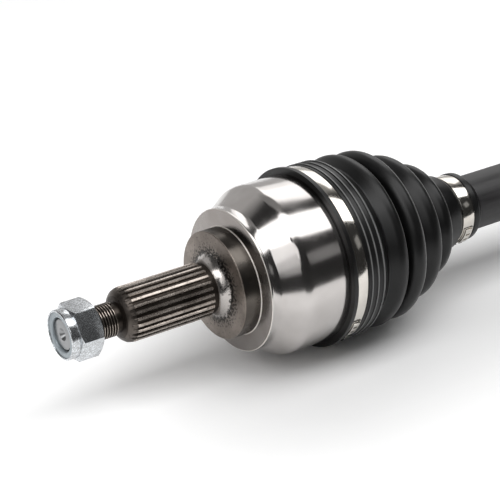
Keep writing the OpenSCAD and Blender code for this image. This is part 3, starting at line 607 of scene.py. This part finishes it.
bar_tail = turned("bar_tail", [(440, 0), (440, core_radius), (447, core_radius), (448, 9.7), (448, 0)], steps=72)
for teeth, x in ((first_teeth, 32.4), (first_teeth, 58.0), (last_teeth, 415.4), (last_teeth, 443.0)):
    groove_tool = turned("groove_tool", [(x, 10.8), (x + ring_width, 10.8), (x + ring_width, 14), (x, 14)],
                         steps=96, closed=True)
    cut(teeth, groove_tool)
shaft_bar = joined(bar_body, first_teeth, last_teeth, bar_tail)
shaft_bar.name = shaft_bar.data.name = "shaft_bar_painted"
smooth(shaft_bar, 28)


def painted_steel(name, colour, rough):
    """Black paint with faint brush and rolling streaks along the bar."""
    material, tree, shader, place = new_finish(name)
    streak_shade = 3.2
    streak = speckle(tree, stretched(tree, place, (14, 160, 160)), 1, 5, 0.7)
    dust = speckle(tree, place, 900, 2)
    tree.links.new(ramp(tree, streak, [(0.38, colour), (0.66, [c * streak_shade for c in colour])]),
                   shader.inputs["Base Color"])
    tree.links.new(between(tree, streak, 0.3, 0.7, rough * 0.8, rough * 1.2), shader.inputs["Roughness"])
    bumped(tree, shader, dust, 0.25, 0.1)
    return material


bar_paint = painted_steel("black bar paint", (0.012, 0.0115, 0.012), 0.48)
shaft_bar.data.materials.clear()
paint(shaft_bar, bar_paint)
# The bar's spline teeth get the tooth steel with its painted highlights.
paint(shaft_bar, tooth_highlight_steel, lambda x, r: r < neck_radius - 0.05 and (x < 63.5 or x > 409.5))
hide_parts("shaft_bar")
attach(shaft_bar, "shaft")


# Wheel-side boot. A bellows of black rubber keeps the grease in the ball joint. Its large cuff grips the bell
# under a steel band, and its folds get smaller down to the cuff on the bar, so that it bends with the joint.
boot_wall = 2.4
cuff_radius, clamp_seat, rib_foot, seat_start, seat_end = 50.1, 47.9, 48.8, 2.7, 10.15
neck_crest, small_radius, small_seat = 22.7, 19.8, 18.7


def fold_line(folds, entry, leave):
    """Points (distance, radius) along a row of round folds. Each is given as (distance, outermost or innermost
    radius, rounding, 1 for a crest or -1 for a valley), and a straight wall runs from each rounding onto the next.
    The line enters and leaves at an angle in degrees."""
    steps = 10
    middles = [Vector((distance, radius - side * rounding)) for distance, radius, rounding, side in folds]
    slopes = [radians(entry)]
    for number in range(len(folds) - 1):
        run = middles[number + 1] - middles[number]
        spread = folds[number][2] * folds[number][3] - folds[number + 1][2] * folds[number + 1][3]
        slopes.append(atan2(run.y, run.x) - asin(spread / run.length))
    slopes.append(radians(leave))
    points = []
    for number, (distance, radius, rounding, side) in enumerate(folds):
        for step in range(steps + 1):
            slope = slopes[number] + (slopes[number + 1] - slopes[number]) * step / steps
            points.append((middles[number].x - side * rounding * sin(slope),
                           middles[number].y + side * rounding * cos(slope)))
    return points


def bellows(name, cuff, way, shape, rings):
    """A boot drawn from its large cuff's edge through (distance, radius), with way 1 towards +X and -1 towards -X.
    Its rings (distance, radius, width) are rounded."""
    boot = turned(name, [(cuff + way * distance, radius) for distance, radius in shape], steps=192)
    round_rings(boot, [(cuff + way * distance, radius, width) for distance, radius, width in rings], segments=3)
    make_active(boot)
    thickness = boot.modifiers.new("wall", "SOLIDIFY")
    thickness.thickness, thickness.offset, thickness.use_even_offset = boot_wall * MM, -1, True
    bpy.ops.object.modifier_apply(modifier=thickness.name)
    return smooth(boot, 50)


def large_cuff(ribs):
    """The cuff with its clamp's groove and the low ribs behind it."""
    first_rib, rib_pitch = 11.8, 3.9
    rib_outline = [(first_rib + rib_pitch * number + run, rib_foot + rise) for number in range(ribs)
                   for run, rise in ((0, 0), (0.4, 0.5), (1.2, 0.5), (1.6, 0))]
    return [(0, cuff_radius), (seat_start, cuff_radius), (seat_start, clamp_seat), (9.85, clamp_seat),
            (seat_end, rib_foot)] + rib_outline


def small_cuff(neck, small):
    """The neck, the clamp's groove and the rounded end on the bar, at distances from the large cuff's edge."""
    return [(neck, neck_crest), (small - 3, 21.7), (small + 0.4, 19.4), (small + 0.7, small_seat),
            (small + 8.8, small_seat), (small + 9.1, small_radius), (small + 12.8, small_radius), (small + 16, 16.9)]


def small_cuff_rounding(neck, small):
    return [(neck, neck_crest, 1.6), (small + 9.1, small_radius, 0.3), (small + 12.8, small_radius, 0.8)]


large_cuff_rounding = [(0, cuff_radius, 0.5), (seat_start, cuff_radius, 0.4), (seat_end, rib_foot, 0.25)]
outboard_cuff, outboard_last_rib, outboard_neck, outboard_small = 54.8, 21.2, 87.5, 100
outboard_folds = [(27.2, 44.8, 1.2, -1), (34.3, 49, 5, 1), (40.8, 41.2, 1.3, -1), (47.4, 48.1, 5.2, 1),
                  (55.4, 37.2, 1.3, -1), (63.5, 41.6, 5.6, 1), (71.4, 28.4, 1.3, -1), (79.3, 32.8, 4.3, 1)]
outboard_shape = large_cuff(3) + fold_line(outboard_folds, -50, -61) + small_cuff(outboard_neck, outboard_small)
outboard_rings = (large_cuff_rounding + [(outboard_last_rib, rib_foot, 0.5)]
                  + small_cuff_rounding(outboard_neck, outboard_small))
outboard_boot = bellows("outboard_boot_rubber", outboard_cuff, 1, outboard_shape, outboard_rings)


def moulded_rubber(name, dark, light, low, high):
    """Black moulded rubber: satin, finely grained, with a thin grey bloom."""
    material, tree, shader, place = new_finish(name)
    bloom = speckle(tree, place, 38, 5, 0.6)
    grain = speckle(tree, place, 1600, 2)
    tree.links.new(ramp(tree, bloom, [(0.35, dark), (0.75, light)]), shader.inputs["Base Color"])
    tree.links.new(between(tree, bloom, 0.3, 0.7, low, high), shader.inputs["Roughness"])
    shader.inputs["Specular IOR Level"].default_value = 0.36
    bumped(tree, shader, grain, 0.15, 0.05)
    return material


def painted_crest_highlights(folds, cuff, way, last_rib):
    """A test for the ribs' tops and the faces just past the top of each crest, which are painted light grey as
    highlight lines along the folds, in place of rim light. It takes x and the radius in mm."""
    crests = [(distance, radius - rounding, rounding) for distance, radius, rounding, side in folds if side > 0]

    def test(x, r):
        along = way * (x - cuff)
        if 11 < along < last_rib + 0.7 and (r > rib_foot + 0.4 or along > last_rib - 0.7 and r < rib_foot - 0.01):
            return r > 48
        return any(abs(hypot(along - distance, r - middle) - rounding) < 0.4
                   and radians(34) < atan2(along - distance, r - middle) < radians(60)
                   for distance, middle, rounding in crests)
    return test


boot_rubber = moulded_rubber("boot rubber", (0.0035, 0.0035, 0.0036), (0.009, 0.009, 0.0092), 0.3, 0.4)
# A light grey rubber for the painted highlights on the crests and ribs.
crest_highlight_rubber = moulded_rubber("boot rubber with painted highlights", (0.11, 0.11, 0.11), (0.24, 0.24, 0.24), 0.35, 0.45)
outboard_boot.data.materials.clear()
paint(outboard_boot, boot_rubber)
# The ribs' tops and a thin band past each crest are painted light grey as highlight lines.
paint(outboard_boot, crest_highlight_rubber, painted_crest_highlights(outboard_folds, outboard_cuff, 1, outboard_last_rib))
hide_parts("outboard_boot")
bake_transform(outboard_boot)


# Boot clamps. Each is a thin stainless band whose loose end hooks over the teeth of a pressed lock,
# and it is drawn tight round the boot's cuff.
band_thickness, lock_arc = 0.8, 700
lock_windows, window_height, window_length = (0.3, 0.62), 1.6, 1.5


def band_clamp(name, radius, width, x, lock_angle):
    """A band from x to x + width, with its lock starting at an angle from +Y towards +Z. The plates are the loose
    tail, the lock and its two teeth, each with its start and length as shares of the lock's sweep, its lowest and
    highest face over the cuff, and the share of the width that it leaves free at each side. The sweep is 12 mm
    of arc on every band."""
    inner, outer = radius + 0.02, radius + band_thickness
    band = turned(name, [(x, inner), (x + width, inner), (x + width, outer), (x, outer)], steps=160, closed=True)
    round_rings(band, [(x, outer, 0.22), (x + width, outer, 0.22)], segments=3)
    sweep = lock_arc / radius
    lock_start = 0.05
    parts = [band]
    for start, turn, low, high, inset in ((0, 2.6, 0.78, 1.3, 0.1), (lock_start, 0.9, 1.2, 2.0, 0.2),
                                          (1.15, 0.25, 1.2, 1.9, 0.24), (1.75, 0.25, 1.2, 1.9, 0.24)):
        side = inset * width
        outline = [(x + side, radius + low), (x + width - side, radius + low), (x + width - side, radius + high),
                   (x + side, radius + high)]
        plate = turned(name + "_lock", outline, steps=16, angle=-radians(turn * sweep), closed=True)
        fill_ends(plate)
        turn_to(plate, lock_angle + start * sweep - 90)
        parts.append(plate)
    lock = parts[2]
    for share in lock_windows:
        deselect()
        bpy.ops.mesh.primitive_cube_add(size=1, location=((x + width / 2) * MM, (radius + 2.2) * MM, 0),
                                        scale=(width * 0.36 * MM, window_height * MM, window_length * MM))
        window = close_piece(new_piece("lock_window"))
        turn_to(window, lock_angle + (lock_start + share) * sweep)
        cut(lock, window)
    clamp = joined(*parts)
    round_edges(clamp, 0.1, 60)
    return smooth(clamp)


def rolled_band(name):
    """Bright stainless strip with fine rolling lines round the band."""
    material, tree, shader, place = new_finish(name)
    rolling = speckle(tree, stretched(tree, place, (2600, 14, 14)), 1, 3)
    cloud = speckle(tree, place, 60, 3)
    shader.inputs["Metallic"].default_value = 1
    tree.links.new(ramp(tree, cloud, [(0.3, (0.60, 0.565, 0.52)), (0.7, (0.76, 0.73, 0.68))]),
                   shader.inputs["Base Color"])
    tree.links.new(between(tree, rolling, 0.3, 0.7, 0.08, 0.18), shader.inputs["Roughness"])
    bumped(tree, shader, rolling, 0.2, 0.02)
    return material


band_steel = rolled_band("rolled stainless band")
for node, radius, width, x, angle, body in (("outboard_large_clamp", clamp_seat, 7.1, 57.52, 205, "wheel_end"),
                                            ("outboard_small_clamp", small_seat, 8, 155.57, 190, "shaft"),
                                            ("inboard_large_clamp", clamp_seat, 7.1, 408.18, 120, "gearbox_end"),
                                            ("inboard_small_clamp", small_seat, 8, 323.23, 100, "shaft")):
    clamp = band_clamp(node + "_band", radius, width, x, angle)
    clamp.data.materials.clear()
    paint(clamp, band_steel)
    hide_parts(node)
    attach(clamp, body)


# Gearbox-side boot. The same rubber as the other boot, turned round: its large cuff grips the adaptor on the
# three-lobed housing, and its small cuff grips the bar. It is drawn as two pieces that meet in a valley.
valley_fold = (32.2, 41, 1.2, -1)
inboard_slide_folds = [(20.4, 45.2, 1.2, -1), (26.2, 49, 4.4, 1), valley_fold]
inboard_bend_folds = [valley_fold, (38.4, 46, 4.6, 1), (44.6, 36.5, 1.2, -1), (51, 39.6, 4.6, 1),
                      (57.3, 28.6, 1.2, -1), (63.4, 31.2, 4.2, 1)]
inboard_cuff, inboard_last_rib, inboard_neck, inboard_small = 418, 17.3, 71.6, 86
slide_boot = bellows("inboard_boot_slide", inboard_cuff, -1, large_cuff(2) + fold_line(inboard_slide_folds, -50, 0),
                     large_cuff_rounding + [(inboard_last_rib, rib_foot, 0.5)])
bend_boot = bellows("inboard_boot_bend", inboard_cuff, -1,
                    fold_line(inboard_bend_folds, 0, -61) + small_cuff(inboard_neck, inboard_small),
                    small_cuff_rounding(inboard_neck, inboard_small))
crest_highlight_test = painted_crest_highlights(inboard_slide_folds + inboard_bend_folds, inboard_cuff, -1, inboard_last_rib)
for piece, bodies, start, end in ((slide_boot, ("gearbox_end", "inboard_boot"), 0.4075, 0.3865),
                                  (bend_boot, ("inboard_boot", "shaft"), 0.385, 0.348)):
    piece.data.materials.clear()
    paint(piece, boot_rubber)
    # The ribs' tops and a thin band past each crest are painted light grey as highlight lines.
    paint(piece, crest_highlight_rubber, crest_highlight_test)
    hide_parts("inboard_boot")
    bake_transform(piece)


# Three-lobed housing at the gearbox end with its boot adaptor and the wire ring on its nose. The housing is
# forged and dark, ground where the seal runs, and splined where it enters the gearbox.
def copied(node, name):
    """A copy of a CAD node's shape with its flat faces merged, for a piece that gets even shading and its own
    finish."""
    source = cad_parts[node]
    piece = bpy.data.objects.new(name, source.data.copy())
    bpy.context.scene.collection.objects.link(piece)
    piece.matrix_world = source.matrix_world
    make_active(piece)
    bpy.ops.object.mode_set(mode="EDIT")
    bpy.ops.mesh.select_all(action="SELECT")
    bpy.ops.mesh.remove_doubles(threshold=weld_distance)
    bpy.ops.mesh.dissolve_limited(angle_limit=radians(0.3), use_dissolve_boundaries=False)
    bpy.ops.mesh.select_all(action="DESELECT")
    bpy.ops.object.mode_set(mode="OBJECT")
    smooth(piece, 30)
    evening = piece.modifiers.new("even normals", "WEIGHTED_NORMAL")
    evening.keep_sharp = True
    bpy.ops.object.modifier_apply(modifier=evening.name)
    return piece


housing = copied("tulip_housing", "tulip_housing_forged")
housing_steel = oiled_steel("dark forged housing steel", (0.05, 0.048, 0.046), (0.13, 0.122, 0.115), 0.42)
housing.data.materials.clear()
paint(housing, housing_steel)
cup_end, seal_land_end, teeth_start, teeth_end = 484, 507, 510, 549
paint(housing, bell_steel, lambda x, r: cup_end < x < seal_land_end and r > 15)
paint(housing, nose_steel, lambda x, r: x > seal_land_end)
# The housing's spline tips are painted light as painted highlights.
paint(housing, tooth_highlight_steel, lambda x, r: teeth_start < x < teeth_end and r > 13.3)
# The housing's spline grooves are painted near black as painted shade.
paint(housing, groove_shade_steel, lambda x, r: teeth_start < x < teeth_end and r < 13)
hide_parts("tulip_housing")
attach(housing, "gearbox_end")

adaptor = copied("boot_adaptor", "boot_adaptor_rubber")
adaptor.data.materials.clear()
paint(adaptor, boot_rubber)
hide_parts("boot_adaptor")
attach(adaptor, "gearbox_end")

nose_ring = copied("gearbox_circlip", "gearbox_circlip_wire")
nose_ring.data.materials.clear()
paint(nose_ring, ring_steel)
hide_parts("gearbox_circlip")
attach(nose_ring, "gearbox_end")


# Table and studio. A white table stands before a pale backdrop in a dark room. Soft boxes hang over it, before it
# and behind it, and the black gaps between them give the ground steel its hard-edged light and dark bands.
table_size, table_middle = 1.7, (0.45, 0.54, -0.0502)
bell_x = 0.04
deselect()
bpy.ops.mesh.primitive_grid_add(x_subdivisions=4, y_subdivisions=4, size=table_size, location=table_middle)
table = close_piece(new_piece("table_top"))
material, tree, shader, place = new_finish("pale table")
cloth = speckle(tree, place, 3, 2)
tree.links.new(ramp(tree, cloth, [(0.3, (0.87, 0.87, 0.87)), (0.7, (0.89, 0.89, 0.89))]),
               shader.inputs["Base Color"])
shader.inputs["Roughness"].default_value = 0.9
shader.inputs["Specular IOR Level"].default_value = 0.1
rays = add_node(tree, "ShaderNodeLightPath")
seen = maths(tree, "MAXIMUM", rays.outputs["Is Camera Ray"], rays.outputs["Is Glossy Ray"])
seen = maths(tree, "MAXIMUM", seen, rays.outputs["Is Transmission Ray"])
# The table has a painted glow that brightens it to white away from the shaft, only for the camera and in
# reflections. The glow fades out near the shaft, so the ground there is darker by painted shade as well as by its
# shadow. The distance is taken from a line at the axis' height, 30 mm before the shaft, that starts at the bell:
# past it, x counts as the bell's.
no_limit, glow_start, glow_full, glow_strength = 10, 0.052, 0.12, 0.3
away = add_node(tree, "ShaderNodeVectorMath", {0: place, 1: (bell_x, no_limit, no_limit)}, operation="MINIMUM")
away = add_node(tree, "ShaderNodeVectorMath", {0: away.outputs["Vector"], 1: (bell_x, -0.03, 0)},
                operation="DISTANCE").outputs["Value"]
glow = maths(tree, "MULTIPLY", seen, between(tree, away, glow_start, glow_full, 0, glow_strength))
shader.inputs["Emission Color"].default_value = (1, 1, 1, 1)
tree.links.new(glow, shader.inputs["Emission Strength"])
table.data.materials.append(material)

world = bpy.data.worlds.new("white backdrop")
bpy.context.scene.world = world
world.use_nodes = True
tree = world.node_tree
background = tree.nodes["Background"]
# The steel sees a pale backdrop behind the table, from the right edge's azimuth to the left edge's, which fades
# towards its top, and a dark room elsewhere. The camera sees white.
dark_room, pale_backdrop, white = (0.03, 0.03, 0.03), (0.55, 0.545, 0.54), (1, 1, 1)
way = add_node(tree, "ShaderNodeSeparateXYZ", {"Vector": add_node(tree, "ShaderNodeTexCoord").outputs["Generated"]})
azimuth = maths(tree, "ARCTAN2", way.outputs["Y"], way.outputs["X"])
right_edge = between(tree, azimuth, radians(15), radians(28))
left_edge = between(tree, azimuth, radians(125), radians(112))
height = between(tree, way.outputs["Z"], 0.82, 0.68, 0.5, 1)
backdrop = maths(tree, "MULTIPLY", maths(tree, "MULTIPLY", right_edge, left_edge), height)
room = mixed(tree, backdrop, dark_room, pale_backdrop)
rays = add_node(tree, "ShaderNodeLightPath")
tree.links.new(mixed(tree, rays.outputs["Is Camera Ray"], room, white), background.inputs["Color"])
background.inputs["Strength"].default_value = 1


def soft_box(name, azimuth, elevation, left, right, below, above, brightness):
    """A soft box 2 m from the bell that faces it from a direction, and reaches so far to each side of it, all in
    degrees. Its brightness is that of its face, so a larger box isn't dimmer."""
    distance = 2
    left, right, below, above = (distance * tan(radians(reach)) for reach in (left, right, below, above))
    lamp = bpy.data.lights.new(name, "AREA")
    lamp.shape = "RECTANGLE"
    lamp.size, lamp.size_y = left + right, below + above
    lamp.energy = brightness * pi * lamp.size * lamp.size_y
    fixture = bpy.data.objects.new(name, lamp)
    level = radians(elevation)
    way = Vector((cos(level) * cos(radians(azimuth)), cos(level) * sin(radians(azimuth)), sin(level)))
    turn = way.to_track_quat("Z", "Y")
    fixture.rotation_euler = turn.to_euler()
    fixture.location = (Vector((bell_x, 0, 0)) + distance * way
                        + turn @ Vector(((right - left) / 2, (above - below) / 2, 0)))
    bpy.context.scene.collection.objects.link(fixture)


# Nearly overhead, reaching much farther before the shaft than behind it
soft_box("top_box", -90, 89, 48, 53, 31, 3, 2.7)
# Three strips in front, brightest at the top
soft_box("front_box_above", -148, 42, 30, 30, 9, 9, 1.4)
soft_box("front_box_middle", -148, 27, 30, 30, 6, 6, 0.85)
soft_box("front_box_below", -148, 16.5, 30, 30, 4.5, 4.5, 0.5)
# Two boxes behind the shaft, and a weak one at the right
soft_box("back_box_above", 45, 38, 15, 15, 11, 11, 1.5)
soft_box("back_box_below", 45, 22, 15, 15, 5, 5, 1)
soft_box("right_box", -48, 22, 6, 6, 6, 6, 0.28)
